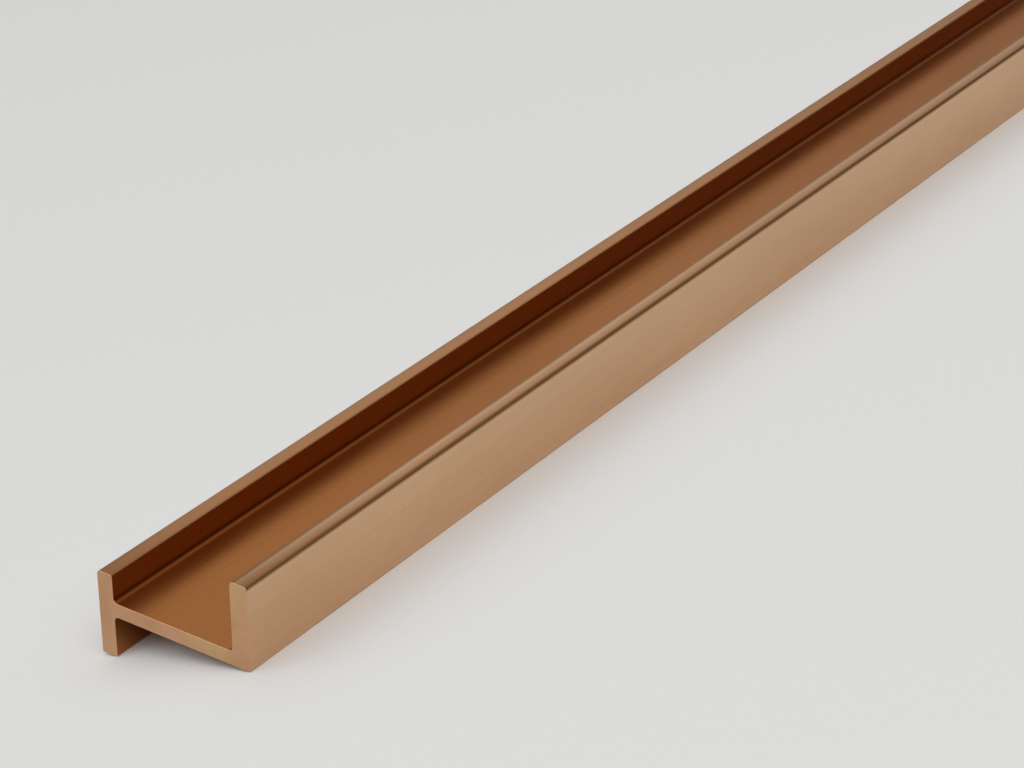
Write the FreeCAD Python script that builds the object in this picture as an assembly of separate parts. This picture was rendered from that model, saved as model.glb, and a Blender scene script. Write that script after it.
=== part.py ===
import FreeCAD, Part
import math
import os

# Copper busbar: one straight length of drawn copper profile with an offset H section.
#
# The section is a flat web between two upright flanges of the same height. The tall
# flange stands on the web's underside and rises all the way above it. The step flange
# is set lower: it rises a little above the web and drops further below it.
#
# Frame: the bar runs along X. It lies on Z = 0 as it comes to rest on a level floor,
# on the foot of each flange, so the whole section is tilted about X. The tall flange
# faces -Y and the step flange faces +Y. The origin is at the centre of the bottom of
# the bounding box. Lengths are in millimetres.

# Driving dimensions
BAR_LENGTH = 1000.0
OVERALL_WIDTH = 50.0
FLANGE_HEIGHT = 25.0
WEB_THICKNESS = 4.2
TALL_FLANGE_THICKNESS = 5.6
STEP_FLANGE_THICKNESS = 5.0
STEP_FLANGE_DROP = 12.5

# Edge and corner radii
FOOT_RADIUS = 0.4
TALL_RIM_OUTER_RADIUS = 1.2
TALL_RIM_INNER_RADIUS = 1.2
STEP_RIM_OUTER_RADIUS = 1.2
STEP_RIM_INNER_RADIUS = 0.8
ROOT_RADIUS = 1.5

# Places that follow from the driving dimensions, measured in the section before it
# is tilted: across from the tall flange's outer face, up from the web's underside
STEP_FLANGE_INNER = OVERALL_WIDTH - STEP_FLANGE_THICKNESS
STEP_RIM_LEVEL = FLANGE_HEIGHT - STEP_FLANGE_DROP

# Both feet have the same radius, so the line on which the bar rests is parallel to
# the line through the two foot corners
REST_TILT = math.degrees(math.atan2(STEP_FLANGE_DROP, STEP_FLANGE_INNER))


def section_corners():
    """Corners of the section, each with its radius, in order round the outline."""
    return [
        (0.0, 0.0, FOOT_RADIUS),
        (STEP_FLANGE_INNER, 0.0, ROOT_RADIUS),
        (STEP_FLANGE_INNER, -STEP_FLANGE_DROP, FOOT_RADIUS),
        (OVERALL_WIDTH, -STEP_FLANGE_DROP, FOOT_RADIUS),
        (OVERALL_WIDTH, STEP_RIM_LEVEL, STEP_RIM_OUTER_RADIUS),
        (STEP_FLANGE_INNER, STEP_RIM_LEVEL, STEP_RIM_INNER_RADIUS),
        (STEP_FLANGE_INNER, WEB_THICKNESS, ROOT_RADIUS),
        (TALL_FLANGE_THICKNESS, WEB_THICKNESS, ROOT_RADIUS),
        (TALL_FLANGE_THICKNESS, FLANGE_HEIGHT, TALL_RIM_INNER_RADIUS),
        (0.0, FLANGE_HEIGHT, TALL_RIM_OUTER_RADIUS),
    ]


def corner_arc(before, corner, after, radius):
    """Start, middle and end of the arc that rounds a square corner."""
    towards_before = (before - corner).normalize()
    towards_after = (after - corner).normalize()
    start = corner + towards_before * radius
    end = corner + towards_after * radius
    centre = corner + (towards_before + towards_after) * radius
    middle = centre + (corner - centre).normalize() * radius
    return start, middle, end


def rounded_outline(corners, at_x):
    """Closed wire through the corners in the plane X = at_x, with each one rounded."""
    points = [FreeCAD.Vector(at_x, across, up) for across, up, _ in corners]
    arcs = []
    for index, (_, _, radius) in enumerate(corners):
        after = points[(index + 1) % len(points)]
        arcs.append(corner_arc(points[index - 1], points[index], after, radius))
    edges = []
    for index, (start, middle, end) in enumerate(arcs):
        edges.append(Part.Arc(start, middle, end).toShape())
        next_start = arcs[(index + 1) % len(arcs)][0]
        edges.append(Part.LineSegment(end, next_start).toShape())
    return Part.Wire(edges)


def make_busbar():
    """The bar, drawn along X, tilted to its rest and centred over the origin."""
    outline = rounded_outline(section_corners(), -BAR_LENGTH / 2.0)
    bar = Part.Face(outline).extrude(FreeCAD.Vector(BAR_LENGTH, 0.0, 0.0))
    bar.rotate(FreeCAD.Vector(0.0, 0.0, 0.0), FreeCAD.Vector(1.0, 0.0, 0.0), REST_TILT)
    box = bar.optimalBoundingBox(False, False)
    bar.translate(FreeCAD.Vector(-box.Center.x, -box.Center.y, -box.ZMin))
    return bar


busbar = make_busbar()
os.makedirs("parts", exist_ok=True)
busbar.exportStep("parts/busbar.step")

bounds = busbar.optimalBoundingBox(False, False)
print("rest tilt %.3f degrees, volume %.1f mm3" % (REST_TILT, busbar.Volume))
print("box X %.3f to %.3f" % (bounds.XMin, bounds.XMax))
print("box Y %.3f to %.3f" % (bounds.YMin, bounds.YMax))
print("box Z %.3f to %.3f" % (bounds.ZMin, bounds.ZMax))
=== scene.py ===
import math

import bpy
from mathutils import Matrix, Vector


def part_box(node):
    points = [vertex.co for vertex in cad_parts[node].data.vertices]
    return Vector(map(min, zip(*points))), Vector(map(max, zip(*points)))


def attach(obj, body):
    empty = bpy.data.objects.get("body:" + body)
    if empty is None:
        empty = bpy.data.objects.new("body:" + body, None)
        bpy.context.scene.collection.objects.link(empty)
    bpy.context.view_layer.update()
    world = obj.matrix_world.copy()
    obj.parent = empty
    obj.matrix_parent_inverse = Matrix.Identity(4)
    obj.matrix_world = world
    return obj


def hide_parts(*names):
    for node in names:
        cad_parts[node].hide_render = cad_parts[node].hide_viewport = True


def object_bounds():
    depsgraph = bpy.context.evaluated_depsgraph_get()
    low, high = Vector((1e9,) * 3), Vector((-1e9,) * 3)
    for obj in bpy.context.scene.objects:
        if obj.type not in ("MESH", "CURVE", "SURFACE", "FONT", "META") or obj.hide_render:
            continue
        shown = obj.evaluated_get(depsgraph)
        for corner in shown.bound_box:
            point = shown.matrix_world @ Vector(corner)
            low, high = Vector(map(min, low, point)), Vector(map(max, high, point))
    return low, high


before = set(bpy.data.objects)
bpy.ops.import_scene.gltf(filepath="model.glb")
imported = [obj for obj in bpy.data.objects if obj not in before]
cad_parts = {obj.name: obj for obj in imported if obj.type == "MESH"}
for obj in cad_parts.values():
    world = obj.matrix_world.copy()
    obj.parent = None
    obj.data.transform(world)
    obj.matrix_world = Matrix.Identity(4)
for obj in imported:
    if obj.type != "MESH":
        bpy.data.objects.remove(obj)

# A straight length of drawn copper busbar, lying on a pale studio floor as it comes to rest.
# The CAD solid's corner radii are coarse once packed, so one finer mesh of the same section
# replaces it. That mesh adds the edge break round the sawn ends and a fine die line on the rim.

CAD_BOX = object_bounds()
MM = 0.001

# Section, the same as the solid's: across from the tall flange's outer face, up from the
# web's underside, in metres
OVERALL_WIDTH = 50.0 * MM
FLANGE_HEIGHT = 25.0 * MM
WEB_THICKNESS = 4.2 * MM
TALL_FLANGE_THICKNESS = 5.6 * MM
STEP_FLANGE_THICKNESS = 5.0 * MM
STEP_FLANGE_DROP = 12.5 * MM
FOOT_RADIUS = 0.4 * MM
TALL_RIM_OUTER_RADIUS = 1.2 * MM
TALL_RIM_INNER_RADIUS = 1.2 * MM
STEP_RIM_OUTER_RADIUS = 1.2 * MM
STEP_RIM_INNER_RADIUS = 0.8 * MM
ROOT_RADIUS = 1.5 * MM

STEP_FLANGE_INNER = OVERALL_WIDTH - STEP_FLANGE_THICKNESS
STEP_RIM_LEVEL = FLANGE_HEIGHT - STEP_FLANGE_DROP
REST_TILT = math.atan2(STEP_FLANGE_DROP, STEP_FLANGE_INNER)

# Detail that only this mesh has
ARC_STEPS = 8
FLAT_STEP = 2.5 * MM
STATION_STEP = 5.0 * MM
EDGE_BREAK = 0.10 * MM
DIE_LINE_WIDTH = 0.30 * MM
DIE_LINE_DEPTH = 0.06 * MM
DIE_LINE_FROM_ARC = 0.15 * MM
# Painted shade in the die line's groove, deepest at its middle
DIE_LINE_PAINTED_SHADE = 0.8
# Painted dark reflection on the upward-facing rims: its strength at a cut end, how far along the bar
# it fades, and the section height below which it is left out
RIM_PAINTED_DARK_REFLECTION = 0.55
RIM_PAINTED_DARK_REFLECTION_LENGTH = 35.0 * MM
RIM_PAINTED_DARK_REFLECTION_FROM = 8.0 * MM


# ---------------------------------------------------------------- section

# One row for each corner, in order round the outline: across, up, radius, how dark the corner's arc
# is painted (painted shade in the root fillets, a painted dark reflection on the tall rim's outer
# edge), and how much painted shade the face after it gets, from 0 outside to 1 in a hollow
CORNERS = [
    (0.0, 0.0, FOOT_RADIUS, 0.0, 1.0),
    (STEP_FLANGE_INNER, 0.0, ROOT_RADIUS, 0.85, 1.0),
    (STEP_FLANGE_INNER, -STEP_FLANGE_DROP, FOOT_RADIUS, 0.0, 0.0),
    (OVERALL_WIDTH, -STEP_FLANGE_DROP, FOOT_RADIUS, 0.0, 0.0),
    (OVERALL_WIDTH, STEP_RIM_LEVEL, STEP_RIM_OUTER_RADIUS, 0.0, 0.7),
    (STEP_FLANGE_INNER, STEP_RIM_LEVEL, STEP_RIM_INNER_RADIUS, 0.0, 1.0),
    (STEP_FLANGE_INNER, WEB_THICKNESS, ROOT_RADIUS, 0.85, 1.0),
    (TALL_FLANGE_THICKNESS, WEB_THICKNESS, ROOT_RADIUS, 0.85, 1.0),
    (TALL_FLANGE_THICKNESS, FLANGE_HEIGHT, TALL_RIM_INNER_RADIUS, 0.0, 0.7),
    (0.0, FLANGE_HEIGHT, TALL_RIM_OUTER_RADIUS, 0.9, 0.0),
]
TALL_RIM_INNER_CORNER = 8


class OutlinePoint:
    """A point of the section with its outward normal, how much painted shade it gets, and how much
    painted darkening from shade in creases and dark reflections it gets.
    """

    def __init__(self, place, normal, painted_shade, painted_shade_and_reflection=0.0):
        self.place = place
        self.normal = normal
        self.painted_shade = painted_shade
        self.painted_shade_and_reflection = painted_shade_and_reflection


def outward(along):
    """Outward normal of an outline that runs anticlockwise."""
    return Vector((along.y, -along.x))


def corner_points(index):
    """The rounded corner: points on its arc, from the face before it to the face after."""
    across, up, radius, corner_painted_shade_and_reflection, painted_shade_after = CORNERS[index]
    painted_shade_before = CORNERS[index - 1][4]
    here = Vector((across, up))
    before = Vector(CORNERS[index - 1][:2])
    after = Vector(CORNERS[(index + 1) % len(CORNERS)][:2])
    along_in = (here - before).normalized()
    along_out = (after - here).normalized()
    normal_in = outward(along_in)
    normal_out = outward(along_out)
    convex = along_in.cross(along_out) > 0.0
    centre = here - along_in * radius + along_out * radius
    side = 1.0 if convex else -1.0
    points = []
    for step in range(ARC_STEPS + 1):
        share = step / ARC_STEPS
        turn = share * math.pi / 2.0
        normal = normal_in * math.cos(turn) + normal_out * math.sin(turn)
        # Painted shade blends along the arc from the face before to the face after
        painted_shade = painted_shade_before + (painted_shade_after - painted_shade_before) * share
        # Painted darkening, strongest at the arc's middle: painted shade in the root fillets and a
        # painted dark reflection on the tall rim's outer edge
        painted_shade_and_reflection = corner_painted_shade_and_reflection * math.sqrt(math.sin(share * math.pi))
        place = centre + normal * radius * side
        points.append(OutlinePoint(place, normal, painted_shade, painted_shade_and_reflection))
    return points


def die_line(start, along, normal):
    """A shallow scored line beside the arc on the tall flange's rim, with painted shade in its
    groove.
    """
    across_line = [0.0, 0.25, 0.5, 0.75, 1.0]
    depths = [0.0, 0.7, 1.0, 0.7, 0.0]
    slope = DIE_LINE_DEPTH / (0.5 * DIE_LINE_WIDTH)
    leans = [0.0, slope, 0.0, -slope, 0.0]
    points = []
    for share, depth, lean in zip(across_line, depths, leans):
        place = start + along * (DIE_LINE_FROM_ARC + share * DIE_LINE_WIDTH)
        place = place - normal * depth * DIE_LINE_DEPTH
        tipped = (normal + along * lean).normalized()
        # The rim's painted shade fades out across the die line
        painted_shade = CORNERS[TALL_RIM_INNER_CORNER][4] * (1.0 - share)
        # Painted shade in the groove, by its depth
        points.append(OutlinePoint(place, tipped, painted_shade, depth * DIE_LINE_PAINTED_SHADE))
    return points


def section_outline():
    """All the points round the section, with the flats divided for even shading."""
    arcs = [corner_points(index) for index in range(len(CORNERS))]
    points = []
    for index, arc in enumerate(arcs):
        points.extend(arc)
        start = arc[-1]
        end = arcs[(index + 1) % len(arcs)][0]
        along = (end.place - start.place).normalized()
        if index == TALL_RIM_INNER_CORNER:
            points.extend(die_line(start.place, along, start.normal))
            start = points[-1]
        length = (end.place - start.place).length
        pieces = max(1, round(length / FLAT_STEP))
        for step in range(1, pieces):
            place = start.place + along * (length * step / pieces)
            # Flat points carry the painted shade of the face they lie on
            points.append(OutlinePoint(place, outward(along), start.painted_shade))
    return points


# ---------------------------------------------------------------- the bar

def rest_place():
    """Turns section coordinates into the frame: tilted to rest, centred on the CAD box."""
    tilt = Matrix.Rotation(REST_TILT, 2)
    outline = [tilt @ point.place for point in section_outline()]
    low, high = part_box("busbar")
    middle = (min(p.x for p in outline) + max(p.x for p in outline)) / 2.0
    lowest = min(p.y for p in outline)
    shift = Vector(((low.y + high.y) / 2.0 - middle, low.z - lowest))
    return tilt, shift


def rim_painted_dark_reflection(point, end_distance):
    """How much painted dark reflection the rims get near a cut end: most at the end, fading along the
    bar.
    """
    if point.place.y < RIM_PAINTED_DARK_REFLECTION_FROM:
        return 0.0
    facing_up = max(0.0, point.normal.y) ** 3
    return RIM_PAINTED_DARK_REFLECTION * facing_up * math.exp(-end_distance / RIM_PAINTED_DARK_REFLECTION_LENGTH)


def stations(start, end):
    """Places along the bar of each ring of points, the edge breaks left out."""
    count = round((end - start) / STATION_STEP)
    return [start + (end - start) * step / count for step in range(count + 1)]


def build_busbar():
    """The bar's skin, its broken end edges and its two sawn end faces."""
    low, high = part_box("busbar")
    tilt, shift = rest_place()
    outline = section_outline()
    count = len(outline)
    rings = [(low.x, EDGE_BREAK)]
    rings += [(x, 0.0) for x in stations(low.x + EDGE_BREAK, high.x - EDGE_BREAK)]
    rings += [(high.x, EDGE_BREAK)]

    vertices = []
    normals = []
    painted_shades = []
    painted_shades_and_reflections = []
    for x, inset in rings:
        for point in outline:
            flat = tilt @ (point.place - point.normal * inset) + shift
            normal = tilt @ point.normal
            vertices.append((x, flat.x, flat.y))
            normals.append(Vector((0.0, normal.x, normal.y)))
            # Painted shade in the hollows
            painted_shades.append(point.painted_shade)
            # Painted dark reflection on the rims near the cut ends, kept with the point's other
            # painted darkening
            painted_dark_reflection = rim_painted_dark_reflection(point, min(x - low.x, high.x - x))
            painted_shades_and_reflections.append(max(point.painted_shade_and_reflection, painted_dark_reflection))

    faces = []
    corner_normals = []
    for ring in range(len(rings) - 1):
        lean = 0.0
        if ring == 0:
            lean = -1.0
        if ring == len(rings) - 2:
            lean = 1.0
        for step in range(count):
            ahead = (step + 1) % count
            face = (
                ring * count + step,
                (ring + 1) * count + step,
                (ring + 1) * count + ahead,
                ring * count + ahead,
            )
            faces.append(face[::-1])
            for vertex in faces[-1]:
                tipped = normals[vertex] + Vector((lean, 0.0, 0.0))
                corner_normals.append(tipped.normalized())
    skin_faces = len(faces)
    last = (len(rings) - 1) * count
    faces.append(tuple(reversed(range(count))))
    corner_normals.extend([Vector((-1.0, 0.0, 0.0))] * count)
    faces.append(tuple(range(last, last + count)))
    corner_normals.extend([Vector((1.0, 0.0, 0.0))] * count)

    mesh = bpy.data.meshes.new("busbar_drawn")
    mesh.from_pydata(vertices, [], faces)
    mesh.update()
    # Painted shade in the hollows, stored per point for the copper material
    mesh.attributes.new("painted_shade", "FLOAT", "POINT").data.foreach_set("value", painted_shades)
    # Painted darkening from shade in creases and the die line and dark reflections on the rims,
    # stored per point
    mesh.attributes.new("painted_shade_and_reflection", "FLOAT", "POINT").data.foreach_set("value", painted_shades_and_reflections)
    for polygon in mesh.polygons:
        polygon.use_smooth = True
        on_end = polygon.index < count or polygon.index >= skin_faces - count
        polygon.material_index = 1 if on_end else 0
    mesh.normals_split_custom_set(corner_normals)
    bar = bpy.data.objects.new("busbar_drawn", mesh)
    bpy.context.scene.collection.objects.link(bar)
    return bar


# ---------------------------------------------------------------- materials

# Moves every noise's own origin, where its octaves would line up, well away from the bar
NOISE_OFFSET = (117.3, 61.7, 83.9)

# Of a Mix node's sockets, the factor and the two colours, and the mixed colour
MIX_COLOUR_INPUTS = (0, 6, 7)
MIX_COLOUR_OUTPUT = 2


class Nodes:
    """Short calls for building one material's node tree."""

    def __init__(self, name):
        self.material = bpy.data.materials.new(name)
        self.material.use_nodes = True
        self.tree = self.material.node_tree
        self.tree.nodes.clear()

    def add(self, kind, **settings):
        node = self.tree.nodes.new(kind)
        for key, value in settings.items():
            setattr(node, key, value)
        return node

    def link(self, output, target):
        self.tree.links.new(output, target)

    def noise(self, scale, detail=4.0, roughness=0.55):
        """Noise in the object's own metres, with its own scale along X, Y and Z."""
        place = self.add("ShaderNodeTexCoord")
        mapping = self.add("ShaderNodeMapping")
        mapping.inputs["Scale"].default_value = scale
        mapping.inputs["Location"].default_value = NOISE_OFFSET
        texture = self.add("ShaderNodeTexNoise")
        texture.inputs["Scale"].default_value = 1.0
        texture.inputs["Detail"].default_value = detail
        texture.inputs["Roughness"].default_value = roughness
        self.link(place.outputs["Object"], mapping.inputs["Vector"])
        self.link(mapping.outputs["Vector"], texture.inputs["Vector"])
        return texture.outputs["Fac"]

    def spread(self, value, low, high, out_low, out_high):
        """Maps value from the range low to high onto out_low to out_high."""
        node = self.add("ShaderNodeMapRange")
        node.inputs["From Min"].default_value = low
        node.inputs["From Max"].default_value = high
        node.inputs["To Min"].default_value = out_low
        node.inputs["To Max"].default_value = out_high
        self.link(value, node.inputs["Value"])
        return node.outputs["Result"]

    def mix(self, factor, first, second):
        """Mixes two colours, each a colour or a socket, by a factor's socket."""
        node = self.add("ShaderNodeMix", data_type="RGBA")
        for index, value in zip(MIX_COLOUR_INPUTS, (factor, first, second)):
            if isinstance(value, bpy.types.NodeSocket):
                self.link(value, node.inputs[index])
            else:
                node.inputs[index].default_value = value
        return node.outputs[MIX_COLOUR_OUTPUT]

    def sum(self, *values):
        """Adds several value sockets."""
        total = values[0]
        for value in values[1:]:
            node = self.add("ShaderNodeMath", operation="ADD")
            self.link(total, node.inputs[0])
            self.link(value, node.inputs[1])
            total = node.outputs[0]
        return total

    def bump(self, height, strength, distance):
        node = self.add("ShaderNodeBump")
        node.inputs["Strength"].default_value = strength
        node.inputs["Distance"].default_value = distance
        self.link(height, node.inputs["Height"])
        return node.outputs["Normal"]

    def finish(self, colour, roughness, normal, metallic=1.0):
        shader = self.add("ShaderNodeBsdfPrincipled")
        shader.inputs["Metallic"].default_value = metallic
        self.link(colour, shader.inputs["Base Color"])
        self.link(roughness, shader.inputs["Roughness"])
        self.link(normal, shader.inputs["Normal"])
        output = self.add("ShaderNodeOutputMaterial")
        self.link(shader.outputs["BSDF"], output.inputs["Surface"])
        return self.material


COPPER_OPEN = (0.73, 0.468, 0.277, 1.0)
# Painted shade for the channel and the web's underside: darker, redder copper standing in for shade
# and copper bounce light
COPPER_PAINTED_SHADE = (0.45, 0.165, 0.040, 1.0)
COPPER_STAIN = (0.30, 0.15, 0.06, 1.0)
# Colours of the painted darkening from shade and dark reflections, on open faces and in the
# painted-shade hollows
COPPER_DARK = (0.24, 0.125, 0.045, 1.0)
COPPER_DARK_PAINTED_SHADE = (0.16, 0.042, 0.007, 1.0)
COPPER_SAWN = (0.64, 0.405, 0.205, 1.0)
COPPER_SAWN_PINK = (0.64, 0.350, 0.210, 1.0)
COPPER_SAWN_DARK = (0.42, 0.22, 0.10, 1.0)
FLOOR_COLOUR = (0.74, 0.74, 0.73, 1.0)
FLOOR_GRAIN_COLOUR = (0.72, 0.72, 0.71, 1.0)


def drawn_copper():
    """Bare copper as it leaves the die: fine lines along the bar and a faint mottling, with painted
    shade in the hollows and painted darkening at the root fillets, rims and die line.
    """
    n = Nodes("drawn_copper")
    # Painted shade: the copper darkens and reddens by the per-point painted shade, most in the
    # hollows
    painted_shade = n.add("ShaderNodeAttribute", attribute_name="painted_shade").outputs["Fac"]
    base = n.mix(painted_shade, COPPER_OPEN, COPPER_PAINTED_SHADE)
    clouds = n.noise((14.0, 30.0, 30.0), detail=5.0)
    streaks = n.noise((2.5, 650.0, 650.0), detail=2.0, roughness=0.5)
    tone = n.sum(n.spread(clouds, 0.3, 0.7, 0.0, 0.12), n.spread(streaks, 0.3, 0.7, 0.0, 0.06))
    toned = n.mix(tone, base, COPPER_STAIN)
    # Painted darkening: painted shade in the root fillets and the die line, painted dark reflection
    # on the rims
    painted_shade_and_reflection = n.add("ShaderNodeAttribute", attribute_name="painted_shade_and_reflection").outputs["Fac"]
    dark = n.mix(painted_shade, COPPER_DARK, COPPER_DARK_PAINTED_SHADE)
    colour_with_painted_dark = n.mix(painted_shade_and_reflection, toned, dark)
    cloudy = n.spread(clouds, 0.3, 0.7, 0.24, 0.32)
    roughness = n.sum(cloudy, n.spread(streaks, 0.3, 0.7, 0.0, 0.06))
    hairlines = n.noise((6.0, 1700.0, 1700.0), detail=1.0)
    height = n.sum(streaks, n.spread(hairlines, 0.0, 1.0, 0.0, 0.35))
    return n.finish(colour_with_painted_dark, roughness, n.bump(height, 0.35, 0.00003))


def sawn_copper():
    """The cut end: brighter metal with fine saw lines right across the section."""
    n = Nodes("sawn_copper")
    clouds = n.noise((75.0, 75.0, 75.0), detail=3.0)
    blush = n.noise((45.0, 45.0, 45.0), detail=2.0)
    saw_lines = n.noise((200.0, 220.0, 3200.0), detail=3.0)
    hue = n.mix(n.spread(blush, 0.38, 0.62, 0.0, 1.0), COPPER_SAWN, COPPER_SAWN_PINK)
    toned = n.mix(n.spread(clouds, 0.35, 0.65, 0.0, 0.38), hue, COPPER_SAWN_DARK)
    roughness = n.spread(saw_lines, 0.3, 0.7, 0.34, 0.46)
    return n.finish(toned, roughness, n.bump(saw_lines, 0.5, 0.00004))


def floor_paper():
    """Pale paper with a trace of grain."""
    n = Nodes("floor_paper")
    grain = n.noise((900.0, 900.0, 900.0), detail=2.0)
    colour = n.mix(n.spread(grain, 0.3, 0.7, 0.0, 1.0), FLOOR_COLOUR, FLOOR_GRAIN_COLOUR)
    roughness = n.spread(grain, 0.3, 0.7, 0.85, 0.95)
    return n.finish(colour, roughness, n.bump(grain, 0.1, 0.0001), metallic=0.0)


# ---------------------------------------------------------------- studio

FLOOR_HALF_SIZE = 12.0

# Soft boxes: where each hangs, the side of its square in metres and its power in watts
KEY_PLACE = (-3.2, -3.6, 4.4)
KEY_SIZE = 5.0
KEY_POWER = 180.0
FILL_PLACE = (-4.8, 3.2, 4.8)
FILL_SIZE = 7.0
FILL_POWER = 92.0
LAMP_TARGET = Vector((0.0, 0.0, 0.0))


def build_floor():
    """A flat floor at the level that the bar rests on."""
    size = FLOOR_HALF_SIZE
    level = CAD_BOX[0][2]
    corners = [(-size, -size, level), (size, -size, level), (size, size, level), (-size, size, level)]
    mesh = bpy.data.meshes.new("studio_floor")
    mesh.from_pydata(corners, [], [(0, 1, 2, 3)])
    floor = bpy.data.objects.new("studio_floor", mesh)
    bpy.context.scene.collection.objects.link(floor)
    mesh.materials.append(floor_paper())


def add_softbox(name, place, size, power):
    """A square lamp that faces the bar."""
    light = bpy.data.lights.new(name, "AREA")
    light.shape = "RECTANGLE"
    light.size = size
    light.size_y = size
    light.energy = power
    lamp = bpy.data.objects.new(name, light)
    lamp.location = place
    lamp.rotation_euler = (LAMP_TARGET - Vector(place)).to_track_quat("-Z", "Y").to_euler()
    bpy.context.scene.collection.objects.link(lamp)


# Grey of the studio round the floor, by height of the view direction: a pale sweep at the
# horizon, darker walls above it and a bright ceiling
SKY_GREYS = [(0.06, 0.72), (0.14, 0.18), (0.40, 0.18), (0.50, 0.72), (0.85, 0.72)]


def build_world():
    """A plain studio that is the same all the way round."""
    world = bpy.data.worlds.new("studio")
    bpy.context.scene.world = world
    world.use_nodes = True
    tree = world.node_tree
    tree.nodes.clear()
    place = tree.nodes.new("ShaderNodeTexCoord")
    split = tree.nodes.new("ShaderNodeSeparateXYZ")
    ramp = tree.nodes.new("ShaderNodeValToRGB")
    ramp.color_ramp.elements.remove(ramp.color_ramp.elements[1])
    for index, (height, grey) in enumerate(SKY_GREYS):
        if index == 0:
            stop = ramp.color_ramp.elements[0]
            stop.position = height
        else:
            stop = ramp.color_ramp.elements.new(height)
        stop.color = (grey, grey, grey, 1.0)
    sky = tree.nodes.new("ShaderNodeBackground")
    output = tree.nodes.new("ShaderNodeOutputWorld")
    tree.links.new(place.outputs["Generated"], split.inputs["Vector"])
    tree.links.new(split.outputs["Z"], ramp.inputs["Fac"])
    tree.links.new(ramp.outputs["Color"], sky.inputs["Color"])
    tree.links.new(sky.outputs["Background"], output.inputs["Surface"])


# Camera, as an aim point on the tall flange's rim and a direction from it
CAMERA_AIM = Vector((-0.376, -0.0224, 0.0252))
CAMERA_AZIMUTH = math.radians(-49.63)
CAMERA_ELEVATION = math.radians(19.12)
CAMERA_ROLL = math.radians(-13.5)
CAMERA_DISTANCE = 0.833
CAMERA_LENS = 106.0
CAMERA_SENSOR_WIDTH = 36.0
CAMERA_CLIP_START = 0.01


def build_camera():
    """The camera, with its direction from azimuth and elevation and its roll about that."""
    data = bpy.data.cameras.new("camera")
    data.lens = CAMERA_LENS
    data.sensor_width = CAMERA_SENSOR_WIDTH
    data.clip_start = CAMERA_CLIP_START
    camera = bpy.data.objects.new("camera", data)
    bpy.context.scene.collection.objects.link(camera)
    level = math.cos(CAMERA_ELEVATION)
    forward = Vector((
        -math.sin(CAMERA_AZIMUTH) * level,
        math.cos(CAMERA_AZIMUTH) * level,
        -math.sin(CAMERA_ELEVATION),
    ))
    right = forward.cross(Vector((0.0, 0.0, 1.0))).normalized()
    up = right.cross(forward)
    turned_right = right * math.cos(CAMERA_ROLL) + up * math.sin(CAMERA_ROLL)
    turned_up = up * math.cos(CAMERA_ROLL) - right * math.sin(CAMERA_ROLL)
    axes = Matrix((turned_right, turned_up, -forward)).transposed()
    place = CAMERA_AIM - forward * CAMERA_DISTANCE
    camera.matrix_world = Matrix.Translation(place) @ axes.to_4x4()
    bpy.context.scene.camera = camera


# ---------------------------------------------------------------- the scene

busbar = build_busbar()
busbar.data.materials.append(drawn_copper())
busbar.data.materials.append(sawn_copper())
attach(busbar, "root")
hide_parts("busbar")

build_floor()
build_world()
add_softbox("key", KEY_PLACE, KEY_SIZE, KEY_POWER)
add_softbox("fill", FILL_PLACE, FILL_SIZE, FILL_POWER)
build_camera()
bpy.context.scene.view_settings.view_transform = "Standard"
